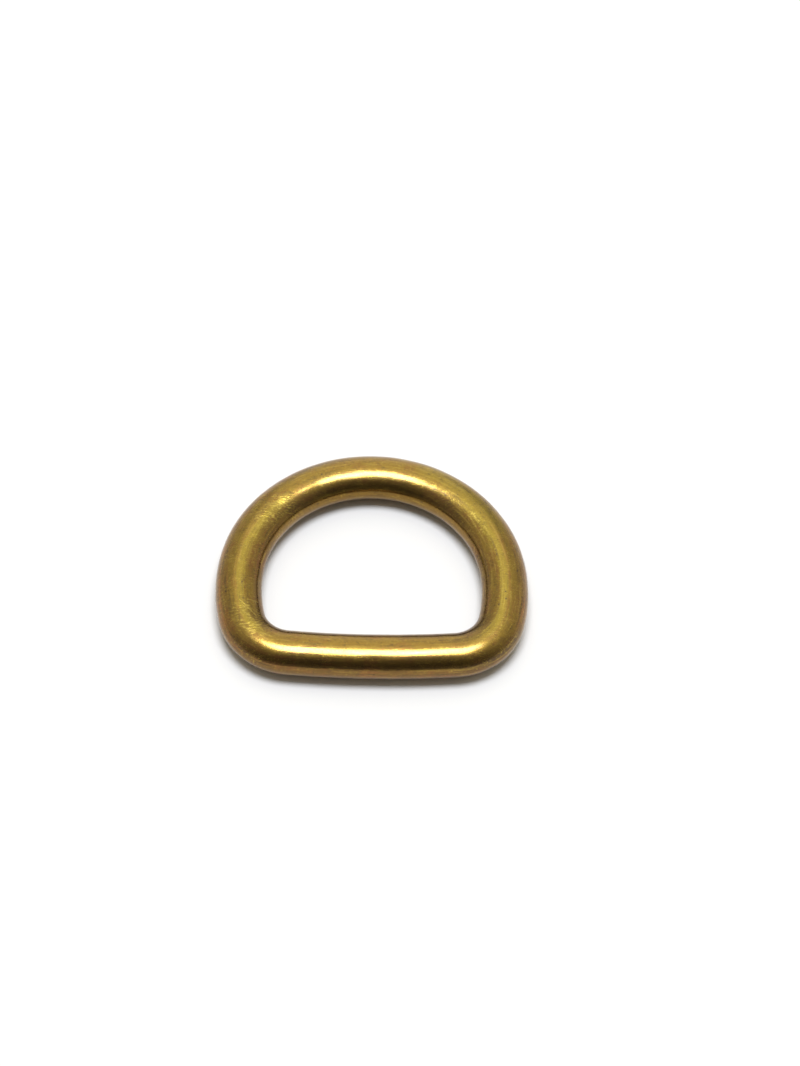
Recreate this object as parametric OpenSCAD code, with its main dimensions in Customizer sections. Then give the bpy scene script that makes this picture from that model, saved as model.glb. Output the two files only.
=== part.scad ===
// A D ring, cast in one piece in a two-part mould.
// A strap folds around the bar, and the crown takes what pulls against it.
// It lies flat, with the bar towards -Y and the surface that it rests on at z = 0.

/* [Opening] */
// Inside width at its widest, which is the width of the strap
inner_w = 18; // [13:0.5:22]
// Inside height, from the middle of the bar to the top of the crown
inner_h = 14; // [12.5:0.5:20]

/* [Wire] */
// Width of the wire, seen from above
wire_w = 3.8; // [1.5:0.1:7]
// Thickness of the wire, from the surface up
wire_t = 3.2; // [1.5:0.1:7]

/* [Outline] */
// Inside radius of the two corners beside the bar
corner_r = 2.3; // [0.5:0.1:4]
// Inside radius of the flanks, between the corners and the crown
flank_r = 11.7; // [9.5:0.1:20]
// Angle in degrees that each flank runs on above the widest line
flank_rise = 10; // [0:1:15]
// Inside radius of the bar, which bows outwards a little
bar_r = 86; // [50:1:300]

/* [Hidden] */

$fn = 96;
antique_brass = [0.58, 0.48, 0.26];

// The casting is put together in metres, where the rounding of a place is too small to part two arcs
metre = 1000;
// Each arc runs this far into the next, so that they share some metal and not just a face
lap = 0.00003;

// The opening is a closed chain of arcs, with the inside of the bar's middle at [0, 0].
// Each arc is tangent to the next, so their centres are in line with the point where they meet.
crown_r = flank_r - (flank_r - inner_w / 2) / cos(flank_rise);
bar_centre = [0, bar_r];
crown_centre = [0, inner_h - crown_r];
flank_centre = crown_centre - (flank_r - crown_r) * [cos(flank_rise), sin(flank_rise)];
corner_centre = right_crossing(flank_centre, flank_r - corner_r, bar_centre, bar_r - corner_r);

// Angles from +X at which the bar hands over to the corner, and the corner to the flank
bar_end = bearing(bar_centre, corner_centre);
corner_end = bearing(flank_centre, corner_centre);

// Two circles cross twice: this is the crossing on the right of a line from a to b
function right_crossing(a, radius_a, b, radius_b) =
    let (
        apart = norm(b - a),
        ahead = (b - a) / apart,
        right = [ahead.y, -ahead.x],
        along = (radius_a ^ 2 - radius_b ^ 2 + apart ^ 2) / (2 * apart)
    )
    a + along * ahead + sqrt(radius_a ^ 2 - along ^ 2) * right;

function bearing(from, to) = atan2(to.y - from.y, to.x - from.x);

// The upper half of a round wire's section
module half_section() {
    intersection() {
        circle(d = wire_w / metre);
        translate([-wire_w, 0] / metre)
            square(2 * wire_w / metre);
    }
}

// Half of the wire along one arc of the opening, from one angle to another.
// The sweep is counted from the arc's middle and runs into its neighbours by the lap.
module half_wire(centre, radius, from, to) {
    run = radius + wire_w / 2;
    half_sweep = (to - from) / 2 + lap / run * 180 / PI;
    translate(centre / metre)
        rotate((from + to) / 2)
            rotate_extrude(start = -half_sweep, angle = 2 * half_sweep)
                translate([run / metre, 0])
                    half_section();
}

module half_bar() {
    half_wire(bar_centre, bar_r, -180 - bar_end, bar_end);
}

module half_corners() {
    half_wire(corner_centre, corner_r, bar_end, corner_end);
    half_wire([-corner_centre.x, corner_centre.y], corner_r, 180 - corner_end, 180 - bar_end);
}

module half_flanks() {
    half_wire(flank_centre, flank_r, corner_end, flank_rise);
    half_wire([-flank_centre.x, flank_centre.y], flank_r, 180 - flank_rise, 180 - corner_end);
}

module half_crown() {
    half_wire(crown_centre, crown_r, flank_rise, 180 - flank_rise);
}

// What one part of the mould holds, flattened to half the wire's thickness
module half_casting() {
    scale([1, 1, wire_t / wire_w]) {
        half_bar();
        half_corners();
        half_flanks();
        half_crown();
    }
}

// The two halves meet at the parting line, in the middle of the thickness
module d_ring() {
    color(antique_brass)
        translate([0, -inner_h / 2, wire_t / 2])
            scale(metre)
                for (side = [0, 1])
                    mirror([0, 0, side])
                        half_casting();
}

d_ring();
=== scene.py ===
# A cast D ring in satin antique brass, lying on a white studio table.
import math
import bpy
from mathutils import Matrix


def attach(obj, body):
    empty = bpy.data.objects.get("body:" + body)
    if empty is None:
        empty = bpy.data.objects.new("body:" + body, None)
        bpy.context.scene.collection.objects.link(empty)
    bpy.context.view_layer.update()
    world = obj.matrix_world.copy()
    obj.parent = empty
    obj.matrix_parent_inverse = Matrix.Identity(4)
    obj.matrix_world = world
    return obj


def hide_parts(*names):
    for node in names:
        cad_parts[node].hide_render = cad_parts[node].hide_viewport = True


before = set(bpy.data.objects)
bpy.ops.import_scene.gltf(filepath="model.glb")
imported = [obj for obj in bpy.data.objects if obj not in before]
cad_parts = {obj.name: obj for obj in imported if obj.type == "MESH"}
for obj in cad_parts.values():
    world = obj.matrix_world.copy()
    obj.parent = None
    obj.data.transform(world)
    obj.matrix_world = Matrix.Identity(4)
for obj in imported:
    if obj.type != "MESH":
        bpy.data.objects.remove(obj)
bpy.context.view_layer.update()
print("frame loaded, nodes:", sorted(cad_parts))

mm = 0.001
fullTurn = 2 * math.pi


class Signal:  # one output of a node, so that sums on it read as sums
    def __init__(self, bench, socket):
        self.bench = bench
        self.socket = socket

    def output(self, name):  # another output of the same node
        return Signal(self.bench, self.socket.node.outputs[name])

    def math(self, operation, *values):
        return self.bench.add("ShaderNodeMath", {"operation": operation}, dict(enumerate(values)))

    def __add__(self, other):
        return self.math("ADD", self, other)

    def __radd__(self, other):
        return self.math("ADD", other, self)

    def __sub__(self, other):
        return self.math("SUBTRACT", self, other)

    def __rsub__(self, other):
        return self.math("SUBTRACT", other, self)

    def __mul__(self, other):
        return self.math("MULTIPLY", self, other)

    def __rmul__(self, other):
        return self.math("MULTIPLY", other, self)

    def __truediv__(self, other):
        return self.math("DIVIDE", self, other)

    def __rtruediv__(self, other):
        return self.math("DIVIDE", other, self)

    def __pow__(self, other):
        return self.math("POWER", self, other)

    def __gt__(self, other):
        return self.math("GREATER_THAN", self, other)

    def sin(self):
        return self.math("SINE", self)

    def cos(self):
        return self.math("COSINE", self)

    def size(self):
        return self.math("ABSOLUTE", self)

    def within(self, low, high):
        return self.math("MINIMUM", self.math("MAXIMUM", self, low), high)

    def eased(self, begins, full):  # 0 up to where it begins, 1 from where it is full, smooth between
        return self.bench.add("ShaderNodeMapRange", {"interpolation_type": "SMOOTHSTEP"},
                              {"Value": self, "From Min": begins, "From Max": full})

    def near(self, middle, full, gone):  # 1 within full of the middle, 0 beyond gone
        return (self - middle).size().eased(gone, full)


class Bench:  # a node tree being wired up
    def __init__(self, tree):
        self.tree = tree

    def add(self, kind, settings={}, inputs={}, output=0):
        node = self.tree.nodes.new(kind)
        for name, value in settings.items():
            setattr(node, name, value)
        for name, value in inputs.items():
            self.feed(node.inputs[name] if isinstance(name, int) else self.find(node, name), value)
        return Signal(self, node.outputs[output]) if node.outputs else None

    def find(self, node, name):
        return next(s for s in node.inputs if name in (s.identifier, s.name) and s.enabled)

    def feed(self, socket, value):
        if isinstance(value, Signal):
            self.tree.links.new(value.socket, socket)
        else:
            socket.default_value = value

    def vector(self, x, y, z):
        return self.add("ShaderNodeCombineXYZ", {}, {"X": x, "Y": y, "Z": z})

    def parted(self, vector):
        return self.add("ShaderNodeSeparateXYZ", {}, {"Vector": vector})

    def mixed(self, factor, a, b):  # two colours
        return self.add("ShaderNodeMix", {"data_type": "RGBA"},
                        {"Factor_Float": factor, "A_Color": a, "B_Color": b}, 2)

    def noise(self, place, scale, detail=2.0, roughness=0.5):
        return self.add("ShaderNodeTexNoise", {},
                        {"Vector": place, "Scale": scale, "Detail": detail, "Roughness": roughness})

    def noiseAlong(self, around, along, waves, detail=2.0):  # about 0, and seamless in both directions
        across, forth = waves[0] / fullTurn, waves[1] / fullTurn
        place = self.vector(around.cos() * across, around.sin() * across, along.cos() * forth)
        noise = self.add("ShaderNodeTexNoise", {"noise_dimensions": "4D"}, {
            "Vector": place, "W": along.sin() * forth, "Scale": 1.0, "Detail": detail, "Roughness": 0.5})
        return noise - 0.5


# Camera, at the height and distance of the photograph
shot = {
    "lens": 127.35,
    "sensorWidth": 36,
    "clip": (0.01, 10),
    "place": (-3.604 * mm, -174.157 * mm, 258.054 * mm),
    "right": (0.99969, 0.00272, 0.02483),
    "up": (-0.01636, 0.82236, 0.56874),
    "back": (-0.01887, -0.56897, 0.82214),
}


def makeCamera():
    data = bpy.data.cameras.new("camera")
    data.lens = shot["lens"]
    data.sensor_width = shot["sensorWidth"]
    data.clip_start, data.clip_end = shot["clip"]
    camera = bpy.data.objects.new("camera", data)
    bpy.context.scene.collection.objects.link(camera)
    turn = Matrix((shot["right"], shot["up"], shot["back"])).transposed()
    camera.matrix_world = Matrix.Translation(shot["place"]) @ turn.to_4x4()
    bpy.context.scene.camera = camera
    print("camera made")


# Studio: a white table, an oval softbox overhead, and a pale room that darkens towards the camera
studio = {
    "tableReach": 3.0,
    "tableDrop": 0.01 * mm,
    "tableWhite": (0.796, 0.744, 0.618, 1),
    "tableRoughness": 0.9,
    "tableShine": 0.1,
    "softboxSize": (0.29, 0.204),
    "softboxPlace": (0.008, 0.010, 0.5),
    "softboxPower": 2.25,
    "softboxColour": (0.90, 1.0, 1.3),
    "roomEverywhere": 0.10,
    # Each glow of the room: its strength, and in which directions it begins and is full
    "roomGlows": {
        "low": (0.12, {"up": (0.40, 0.05)}),
        "allBehind": (0.56, {"behind": (-0.90, 0.35)}),
        "middleBehind": (0.50, {"aside": (0.30, 0.23), "behind": (0.10, 0.50)}),
        "ceiling": (0.12, {"up": (0.55, 0.80), "behind": (-0.60, 0.20)}),
        "besideSoftbox": (0.34, {"up": (0.84, 0.93), "behind": (-0.10, 0.15)}),
    },
    "pastTable": 1.05,
    "viewTransform": "Standard",
}


def makeTable():
    reach, drop = studio["tableReach"], studio["tableDrop"]
    mesh = bpy.data.meshes.new("table")
    corners = [(x * reach, y * reach, -drop) for x, y in ((-1, -1), (1, -1), (1, 1), (-1, 1))]
    mesh.from_pydata(corners, [], [(0, 1, 2, 3)])
    table = bpy.data.objects.new("table", mesh)
    bpy.context.scene.collection.objects.link(table)
    white = bpy.data.materials.new("tableWhite")
    white.use_nodes = True
    body = white.node_tree.nodes["Principled BSDF"]
    body.inputs["Base Color"].default_value = studio["tableWhite"]
    body.inputs["Roughness"].default_value = studio["tableRoughness"]
    body.inputs["Specular IOR Level"].default_value = studio["tableShine"]
    mesh.materials.append(white)


def makeSoftbox():
    light = bpy.data.lights.new("softbox", "AREA")
    light.shape = "ELLIPSE"
    light.size, light.size_y = studio["softboxSize"]
    light.energy = studio["softboxPower"]
    light.color = studio["softboxColour"]
    softbox = bpy.data.objects.new("softbox", light)
    softbox.location = studio["softboxPlace"]
    bpy.context.scene.collection.objects.link(softbox)


def makeRoom():
    room = bpy.data.worlds.new("room")
    room.use_nodes = True
    room.node_tree.nodes.clear()
    bench = Bench(room.node_tree)
    way = bench.parted(bench.add("ShaderNodeTexCoord"))
    ways = {"aside": way.output("X").size(), "behind": way.output("Y"), "up": way.output("Z")}
    bright = studio["roomEverywhere"]
    for strength, limits in studio["roomGlows"].values():
        glow = strength
        for name, (begins, full) in limits.items():
            glow = glow * ways[name].eased(begins, full)
        bright = bright + glow
    seen = bench.add("ShaderNodeLightPath")  # the camera itself sees plain white past the table
    bright = bright * (1 - seen) + studio["pastTable"] * seen
    light = bench.add("ShaderNodeBackground", {}, {"Color": (1, 1, 1, 1), "Strength": bright})
    bench.add("ShaderNodeOutputWorld", {}, {"Surface": light})
    bpy.context.scene.world = room


def makeStudio():
    makeTable()
    makeSoftbox()
    makeRoom()
    bpy.context.scene.view_settings.view_transform = studio["viewTransform"]
    print("studio lit")


# Brass: a satin casting under thin lacquer, rubbed yellow on top and left browner at the sides, where the
# sides are also darkened with painted shade
brass = {
    "body": (0.298, 0.172, 0.012, 1),
    # The side colour is partly painted shade, darker than the top
    "side": (0.196, 0.097, 0.009, 1),
    # The worn colour is partly painted highlight
    "wornAndHighlit": (0.302, 0.203, 0.012, 1),
    "copper": (0.260, 0.100, 0.014, 1),
    # The tarnish colour is also the colour of the painted shade
    "tarnishAndPaintedShade": (0.065, 0.035, 0.010, 1),
    # The fleck colour is also that of painted glints along the highlight
    "fleckAndGlint": (0.500, 0.350, 0.050, 1),
    "edgeTint": (0.85, 0.80, 0.75, 1),
    "roughness": 0.19,
    "roughening": {"flanks": 0.05, "mottle": 0.14, "tarnishAndPaintedShade": 0.20, "scratches": 0.08, "stains": 0.25},
    # Shares of painted shade, and of the dark battered marks
    "shadeAndBatterShares": {"hollow": 0.45, "bend": 0.16, "inside": 0.30, "battered": 0.20},
    "lacquer": 0.65,
    "lacquerRoughness": 0.20,
    "lacquerLostInHollow": 0.5,
    # Waves of noise: so many per metre, or so many around the wire and along the whole ring
    "clouds": 420,
    "mottle": 2100,
    "copperPatches": 610,
    "grainSize": 0.16 * mm,
    "streaks": (62, 46),
    "lines": (56, 12),
    "bands": (24, 9),
    "grainDepth": 0.0040 * mm,
    "drawnDepth": 0.0038 * mm,
    "scratchDepth": 0.0026 * mm,
    "scratchWidth": 0.05 * mm,
    "pitSpacing": 1.15 * mm,
    "pitSize": 0.055 * mm,
    "pitDepth": 0.012 * mm,
    # Fine scratches: angle in degrees, spacing in mm, and patches per metre
    "scratchSets": ((28, 0.26, 900), (-37, 0.30, 760), (81, 0.24, 640)),
    # Short strokes: angle in degrees and spacing in mm
    "strokeSets": ((46, 0.15), (-22, 0.17)),
    "paleMarks": {"scratches": 0.35, "strokes": 0.55},
    # Marks that can be told apart, by their places seen from above, in mm.
    # A scratch has two ends, a worked patch its reach, and the dots are full and gone at two distances.
    "scratchPlaces": (((-10.75, -4.60), (-9.38, -6.02)), ((-10.16, -4.50), (-9.32, -4.50))),
    "scratchPlaceStrength": 1.5,
    "workedPlaces": ((-8.2, 4.3, 2.8), (-9.8, -6.4, 2.4)),
    "workedElsewhere": 0.4,
    "dotPlaces": (
        (10.86, -3.38), (10.88, -4.10), (10.28, -4.64), (-11.91, -3.64),
        (-2.26, -9.40), (-0.32, -9.91), (-3.61, -10.01), (-4.28, 8.02)),
    "dotSize": (0.04, 0.12),
    "dotStrength": 0.8,
}


class Spot:  # where a point lies on the ring, with the noises that several marks share
    def __init__(self, bench):
        self.bench = bench
        self.place = bench.add("ShaderNodeTexCoord", output="Object")
        above = bench.parted(self.place)
        self.x, self.y = above.output("X"), above.output("Y")
        wire = bench.parted(bench.add("ShaderNodeUVMap", {"uv_map": "wireMap"}))
        around, along = wire.output("Y") * fullTurn, wire.output("X") * fullTurn
        self.top = around.sin()  # 1 on the upper ridge, 0 at the sides, -1 underneath
        self.outward = around.cos()  # 1 on the outermost side, -1 on the inner side

        self.clouds = bench.noise(self.place, brass["clouds"], 3.0, 0.55)
        self.mottle = bench.noise(self.place, brass["mottle"], 3.0, 0.6)
        self.grain = bench.noise(self.place, 1 / brass["grainSize"], 2.0, 0.6)
        self.streaks = bench.noiseAlong(around, along, brass["streaks"])
        self.lines = bench.noiseAlong(around, along, brass["lines"], 3.0)
        self.bands = bench.noiseAlong(around, along, brass["bands"])

        self.flanks = self.fromMiddle(5.5, 9.0)
        self.shoulders = self.alongY(1.0, 4.0) * self.fromMiddle(2.5, 5.0)
        self.rightward = self.alongX(-8.0, 8.0)
        # The inner walls: widest at the bar and its corners, and half as strong under the crown
        self.hollow = (self.alongY(-3.5, -6.5) * 0.35 - self.outward).eased(0.74, 0.94) * (
            self.alongY(3.0, 0.0) + self.alongY(4.5, 7.0) * 0.5)
        # The line that is rubbed most, and where the painted highlight runs: on top of the flanks, and
        # further inwards over the shoulders
        self.highlightAndRubLine = -0.02 - 0.30 * (self.y + 3.2 * mm * self.rightward).eased(0.0, 6.0 * mm)

    def alongX(self, begins, full):  # takes mm, as do the next three
        return self.x.eased(begins * mm, full * mm)

    def alongY(self, begins, full):
        return self.y.eased(begins * mm, full * mm)

    def fromMiddle(self, begins, full):  # on the left and the right alike
        return self.x.size().eased(begins * mm, full * mm)

    def near(self, x, y, full, gone):  # 1 within full of a place seen from above, 0 beyond gone
        away = ((self.x - x * mm) ** 2 + (self.y - y * mm) ** 2) ** 0.5
        return away.eased(gone * mm, full * mm)

    def brushed(self, angle, spacing, shortening, shift=0):  # noise that is drawn out at an angle
        turned = self.bench.add("ShaderNodeMapping", {}, {
            "Vector": self.place, "Location": (angle, shift, 0), "Rotation": (0, 0, math.radians(angle)),
            "Scale": (shortening / spacing, 1 / spacing, shortening / spacing)})
        return self.bench.noise(turned, 1.0, 1.0, 0.4)


def scratches(spot, angle, spacing, patch):  # fine straight marks, all at one angle, in patches
    marks = spot.brushed(angle, spacing * mm, 0.18, patch).near(0.5, 0.0, 0.045)
    return marks * spot.bench.noise(spot.place, patch, 1.0).eased(0.48, 0.62)


def strokes(spot, angle, spacing):  # short marks, each on its own
    return spot.brushed(angle, spacing * mm, 0.4).eased(0.57, 0.68)


def scratchBetween(spot, start, end):  # a single one, seen from above
    width, length = brass["scratchWidth"], math.dist(start, end)
    wayX, wayY = (end[0] - start[0]) / length, (end[1] - start[1]) / length
    fromX, fromY = spot.x - start[0] * mm, spot.y - start[1] * mm
    reached = (fromX * wayX + fromY * wayY).within(0, length * mm)
    aside = ((fromX - reached * wayX) ** 2 + (fromY - reached * wayY) ** 2) ** 0.5
    return aside.eased(width, 0.3 * width)


def allScratches(spot, worked):  # more of them where the ring is worked most
    scored = sum(scratches(spot, *each) for each in brass["scratchSets"])
    scored = scored * (worked + brass["workedElsewhere"]) * (0.25 + 0.75 * spot.top.eased(0.0, 0.6))
    for start, end in brass["scratchPlaces"]:
        single = scratchBetween(spot, start, end) * spot.top.eased(0.0, 0.4)
        scored = scored + single * brass["scratchPlaceStrength"]
    return scored.within(0, 1.5)


def castPits(spot):  # small round pits of several sizes
    spacing = brass["pitSpacing"]
    pores = spot.bench.add("ShaderNodeTexVoronoi", {}, {
        "Vector": spot.place, "Scale": 1 / spacing, "Randomness": 1.0})
    chosen = spot.bench.add("ShaderNodeSeparateColor", {}, {"Color": pores.output("Color")})
    size = brass["pitSize"] / spacing * chosen.eased(0.35, 1.0)
    neverZero = 0.0001
    return (pores / (size + neverZero)).eased(1.0, 0.45)


def metalColour(spot):  # yellow on top and browner down the sides, with coppery patches; the darkening down the sides is partly painted shade
    innerWall = spot.outward.eased(-0.72, -0.92) * spot.alongY(0.0, 4.0)
    patchy = (spot.clouds - 0.5) * 0.35 + spot.streaks * 0.25 + spot.bands * 0.5
    # Lighter on top and darker down the sides: partly real rubbing, partly painted shade
    rubbedAndLitTop = (spot.top + patchy).eased(0.50, 1.0)
    rubbedAndLitTop = (rubbedAndLitTop + innerWall * 0.35).within(0, 1)
    patches = spot.bench.noise(spot.place, brass["copperPatches"], 2.0, 0.6)
    coppery = (patches + spot.streaks * 0.5 + spot.lines * 0.9).eased(0.48, 0.66)
    coppery = coppery * (1 - rubbedAndLitTop * 0.45) * (0.80 - innerWall * 0.75)
    colour = spot.bench.mixed(rubbedAndLitTop, brass["side"], brass["body"])
    return spot.bench.mixed(coppery, colour, brass["copper"])


def paintedShadeAndBattering(spot, battered):  # painted shade on the outside of the bar, its corners and the inner walls, plus dark battered marks
    outward, share = spot.outward, brass["shadeAndBatterShares"]
    # Around the outside of the bar and its corners, most of all at the right corner
    outside = outward.eased(0.78, 0.91) * (1 - 0.45 * outward.eased(0.955, 0.995))
    outside = outside * spot.alongY(-5.0, -8.0) * (
        0.25 + 0.10 * spot.fromMiddle(5.0, 9.0) + 0.45 * spot.alongX(4.0, 10.0))
    # On the inner half of both corners, and on the top of the right one
    bend = outward.eased(0.10, -0.20) + outward.eased(0.45, 0.15) * spot.alongX(0.0, 6.0)
    bend = bend * spot.fromMiddle(5.5, 8.5) * spot.alongY(-4.5, -7.0)
    # Between the shoulders' tops and their inner walls
    inside = outward.near(-0.75, 0.12, 0.30) * spot.alongY(3.5, 5.5) * spot.fromMiddle(3.5, 6.5)
    # Every part but the battered marks is painted shade
    return (outside + spot.hollow * share["hollow"] + bend * share["bend"] + inside * share["inside"]
            + battered * share["battered"]).within(0, 1)


def wornAndHighlitTop(spot):  # where the finish is rubbed away, with a painted highlight along the same tops
    outward, lines, grit = spot.outward, spot.lines, spot.grain - 0.5
    # A worn stripe along the top of each flank, partly painted highlight, and a thin broken line of
    # painted highlight beside it
    ragged = outward + spot.streaks * 0.22 + grit * 0.26 + lines * 0.16
    stripe = ragged.near(-0.07 - 0.17 * spot.alongY(-1.0, 5.0), 0.12, 0.22)
    stripe = stripe * (0.85 + lines * 1.2 + grit).within(0.3, 1)
    beside = ragged.near(0.31, 0.01, 0.05) * lines.eased(-0.05, 0.05) * 0.6
    onFlanks = (stripe + beside) * spot.top.eased(0, 0.5) * spot.flanks
    onFlanks = onFlanks * (0.15 + 0.85 * spot.alongY(-9.0, -6.5))
    # A wide yellow area on the outer half of the shoulders, most of all on the right
    onShoulders = spot.shoulders * outward.eased(-0.30, 0.10) * outward.eased(0.85, 0.5)
    return (onFlanks + onShoulders * spot.alongX(-12.0, 8.0) * 0.8).within(0, 1)


def specks(spot):  # dark in the pores, and pale where the grain catches
    grain, mottle, streaks, lines = spot.grain, spot.mottle, spot.streaks, spot.lines
    uneven = streaks * 1.1 + lines * 1.3 + spot.bands * 0.8
    dark = (mottle * 0.5 + grain * 0.5).eased(0.47, 0.33) * 0.50 + uneven.eased(-0.05, -0.4) * 0.45
    pale = (grain * 0.8 + mottle * 0.2).eased(0.55, 0.67) * (0.32 + spot.flanks * 0.10)
    pale = pale + uneven.eased(0.05, 0.4) * 0.35
    # Many more pale ones along the line that is rubbed most, above all on the right: painted glints along
    # the highlight, mixed with real scuffs
    ridge = spot.outward.near(spot.highlightAndRubLine, 0.06, 0.32) * spot.shoulders
    ridge = ridge * (0.10 + 0.63 * spot.rightward)
    return dark, pale + ridge * (streaks * 1.2 + (grain - 0.5) * 0.6).eased(0.0, 0.2)


def makeBrass():
    material = bpy.data.materials.new("antiqueBrass")
    material.use_nodes = True
    material.node_tree.nodes.clear()
    bench = Bench(material.node_tree)
    spot = Spot(bench)

    worked = sum(spot.near(x, y, 0.4 * reach, reach) for x, y, reach in brass["workedPlaces"])
    scored = allScratches(spot, worked)
    battered = worked * spot.outward.near(spot.highlightAndRubLine, 0.25, 0.60) * spot.top.eased(0.3, 0.8)
    marks = sum(strokes(spot, *each) for each in brass["strokeSets"]).within(0, 1) * battered
    pits = castPits(spot)
    dots = sum(spot.near(x, y, *brass["dotSize"]) for x, y in brass["dotPlaces"])
    stained = (pits + dots * spot.top.eased(0, 0.4) * brass["dotStrength"]).within(0, 1)

    dark, pale = specks(spot)
    share = brass["paleMarks"]
    pale = (pale + scored * share["scratches"] + marks * share["strokes"]).within(0, 1)

    colour = metalColour(spot)
    # The first layer is painted shade, and the worn and pale layers carry painted highlight
    layers = ((paintedShadeAndBattering(spot, battered), "tarnishAndPaintedShade"), (wornAndHighlitTop(spot), "wornAndHighlit"), (dark, "tarnishAndPaintedShade"),
              (pale, "fleckAndGlint"), (stained, "tarnishAndPaintedShade"))
    for cover, name in layers:
        colour = bench.mixed(cover, colour, brass[name])

    more = brass["roughening"]
    rough = (brass["roughness"] + spot.flanks * more["flanks"] + (spot.mottle - 0.5) * more["mottle"]
             + dark * more["tarnishAndPaintedShade"] + scored * more["scratches"] + stained * more["stains"])
    relief = (spot.grain * brass["grainDepth"] - scored * brass["scratchDepth"] - pits * brass["pitDepth"]
              + (spot.lines + spot.streaks * 0.4) * brass["drawnDepth"])
    bump = bench.add("ShaderNodeBump", {}, {"Strength": 1.0, "Distance": 1.0, "Height": relief})
    surface = bench.add("ShaderNodeBsdfPrincipled", {}, {
        "Base Color": colour,
        "Metallic": 1.0,
        "Roughness": rough,
        "Specular Tint": brass["edgeTint"],
        "Coat Weight": brass["lacquer"] * (1 - spot.hollow * brass["lacquerLostInHollow"]),
        "Coat Roughness": brass["lacquerRoughness"],
        "Normal": bump,
    })
    bench.add("ShaderNodeOutputMaterial", {}, {"Surface": surface})
    print("brass mixed")
    return material


# Ring: the same sizes as the solid, swept around the opening
ring = {
    "insideWidth": 18 * mm,
    "insideHeight": 14 * mm,
    "wireWidth": 3.8 * mm,
    "wireThickness": 3.2 * mm,
    "cornerRadius": 2.3 * mm,
    "flankRadius": 11.7 * mm,
    "flankRise": math.radians(10),
    "barRadius": 86 * mm,
    "castWaves": 0.022 * mm,
    "castWavesPerMetre": 520.0,
    "seamReach": 0.001 * mm,
    "stepsAlong": 860,
    "stepsAround": 100,
}


def cosineAndSine(angle):  # of a wired angle or a plain one
    if isinstance(angle, Signal):
        return angle.cos(), angle.sin()
    return math.cos(angle), math.sin(angle)


# Radius, first bearing and last bearing of each arc, from the bar's middle to the crown's
def arcsOfWire(size, halfWire):
    barRadius, flankRadius = size["barRadius"], size["flankRadius"]
    riseCos, riseSin = cosineAndSine(size["flankRise"])
    crownRadius = flankRadius - (flankRadius - size["insideWidth"] / 2) / riseCos
    flankX = 0 - (flankRadius - crownRadius) * riseCos
    flankY = size["insideHeight"] - crownRadius - (flankRadius - crownRadius) * riseSin

    # The corner's centre lies where a circle about the flank's centre crosses one about the bar's
    flankReach = flankRadius - size["cornerRadius"]
    barReach = barRadius - size["cornerRadius"]
    overX, overY = 0 - flankX, barRadius - flankY
    apart = (overX ** 2 + overY ** 2) ** 0.5
    ahead = (flankReach ** 2 - barReach ** 2 + apart ** 2) / (2 * apart)
    aside = (flankReach ** 2 - ahead ** 2) ** 0.5
    cornerX = flankX + (ahead * overX + aside * overY) / apart
    cornerY = flankY + (ahead * overY - aside * overX) / apart
    barEnd = barRadius.math("ARCTAN2", cornerY - barRadius, cornerX)
    cornerEnd = barRadius.math("ARCTAN2", cornerY - flankY, cornerX - flankX)
    return [
        (barRadius + halfWire, -math.pi / 2, barEnd),
        (size["cornerRadius"] + halfWire, barEnd, cornerEnd),
        (flankRadius + halfWire, cornerEnd, size["flankRise"]),
        (crownRadius + halfWire, size["flankRise"], math.pi / 2),
    ]


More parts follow.
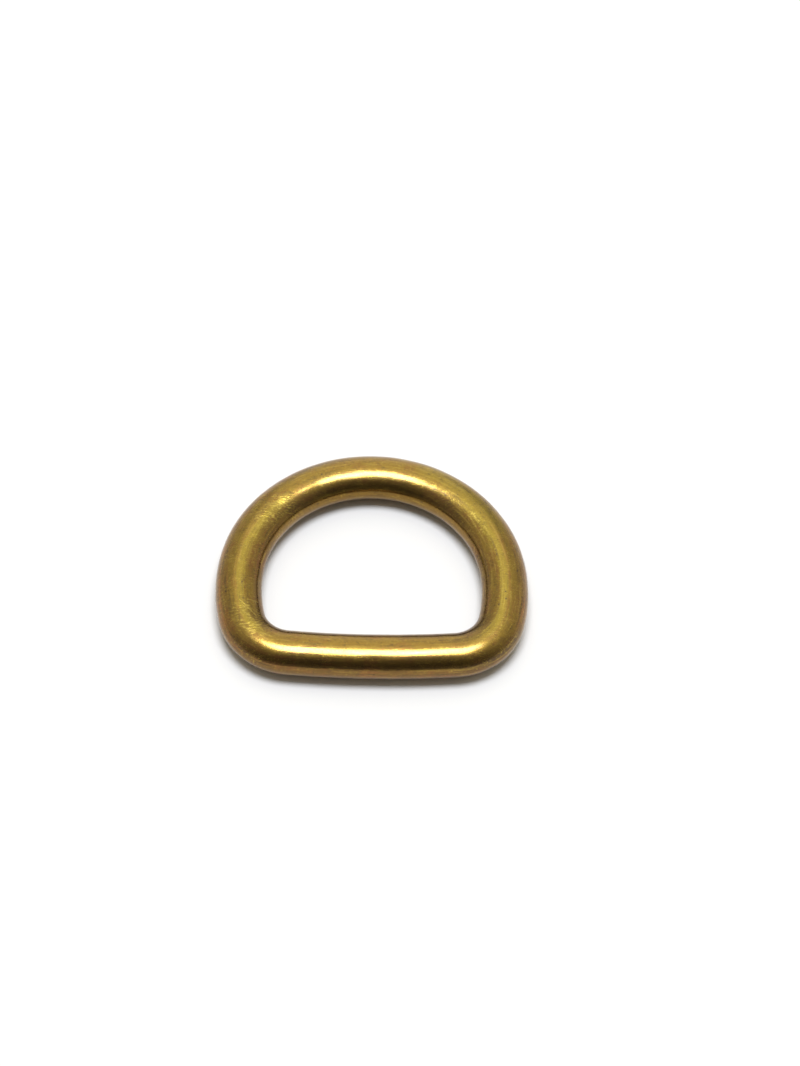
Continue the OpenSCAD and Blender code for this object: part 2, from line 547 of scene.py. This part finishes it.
def ringTree(material):
    tree = bpy.data.node_groups.new("sweptRing", "GeometryNodeTree")
    for name, value in ring.items():
        kind = "NodeSocketInt" if isinstance(value, int) else "NodeSocketFloat"
        tree.interface.new_socket(name=name, in_out="INPUT", socket_type=kind)
    tree.interface.new_socket(name="Geometry", in_out="OUTPUT", socket_type="NodeSocketGeometry")
    bench = Bench(tree)
    given = bench.add("NodeGroupInput")
    size = {name: given.output(name) for name in ring}

    grid = bench.add("GeometryNodeMeshGrid", {}, {
        "Size X": 1.0, "Size Y": 1.0,
        "Vertices X": size["stepsAlong"] + 1, "Vertices Y": size["stepsAround"] + 1})
    mapped = bench.add("GeometryNodeStoreNamedAttribute", {"data_type": "FLOAT2", "domain": "CORNER"},
                       {"Geometry": grid, "Name": "wireMap", "Value": grid.output("UV Map")})
    spot = bench.parted(bench.add("GeometryNodeInputPosition"))
    along, around = spot.output("X") + 0.5, (spot.output("Y") + 0.5) * fullTurn

    # The right half runs from the bar's middle to the crown's, and the left half mirrors it
    halfWire = size["wireWidth"] / 2
    arcs = arcsOfWire(size, halfWire)
    lengths = [run * (end - start) for run, start, end in arcs]
    left = along > 0.5
    travelled = (1 - (2 * along - 1).size()) * sum(lengths)
    x, y, bearing = 0.0, 0 - halfWire - size["insideHeight"] / 2, -math.pi / 2
    for (run, start, end), length in zip(arcs, lengths):
        turned = travelled.within(0, length) / run
        startCos, startSin = cosineAndSine(start)
        x = x + run * ((start + turned).cos() - startCos)
        y = y + run * ((start + turned).sin() - startSin)
        bearing = bearing + turned
        travelled = travelled - length

    out = halfWire * around.cos()
    lift = size["wireThickness"] / 2 * (1 + around.sin())
    place = bench.vector((x + out * bearing.cos()) * (1 - 2 * left), y + out * bearing.sin(), lift)
    swept = bench.add("GeometryNodeSetPosition", {}, {"Geometry": mapped, "Position": place})
    closed = bench.add("GeometryNodeMergeByDistance", {}, {
        "Geometry": swept, "Distance": size["seamReach"]})
    waves = bench.noise(bench.add("GeometryNodeInputPosition"), size["castWavesPerMetre"], 2.0, 0.4)
    push = bench.add("ShaderNodeVectorMath", {"operation": "SCALE"}, {
        0: bench.add("GeometryNodeInputNormal"), "Scale": (waves - 0.5) * 2 * size["castWaves"]})
    cast = bench.add("GeometryNodeSetPosition", {}, {"Geometry": closed, "Offset": push})
    smooth = bench.add("GeometryNodeSetShadeSmooth", {}, {"Geometry": cast})
    whole = bench.add("GeometryNodeRealizeInstances", {}, {"Geometry": smooth})
    dressed = bench.add("GeometryNodeSetMaterial", {}, {"Geometry": whole, "Material": material})
    bench.add("NodeGroupOutput", {}, {"Geometry": dressed})
    return tree


def makeRing(material):
    holder = bpy.data.objects.new("ringHolder", bpy.data.meshes.new("ringHolder"))
    bpy.context.scene.collection.objects.link(holder)
    tree = ringTree(material)
    modifier = holder.modifiers.new("sweep", "NODES")
    modifier.node_group = tree
    for item in tree.interface.items_tree:
        if item.in_out == "INPUT":
            modifier[item.identifier] = ring[item.name]
    evaluated = holder.evaluated_get(bpy.context.evaluated_depsgraph_get())
    mesh = bpy.data.meshes.new_from_object(evaluated)
    holder.modifiers.clear()
    bpy.data.objects.remove(holder)
    mesh.name = "brassRing"
    piece = bpy.data.objects.new("brassRing", mesh)
    bpy.context.scene.collection.objects.link(piece)
    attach(piece, "root")
    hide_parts("d_ring")
    print("ring swept:", len(mesh.vertices), "points,", len(mesh.polygons), "faces")


makeCamera()
makeStudio()
makeRing(makeBrass())
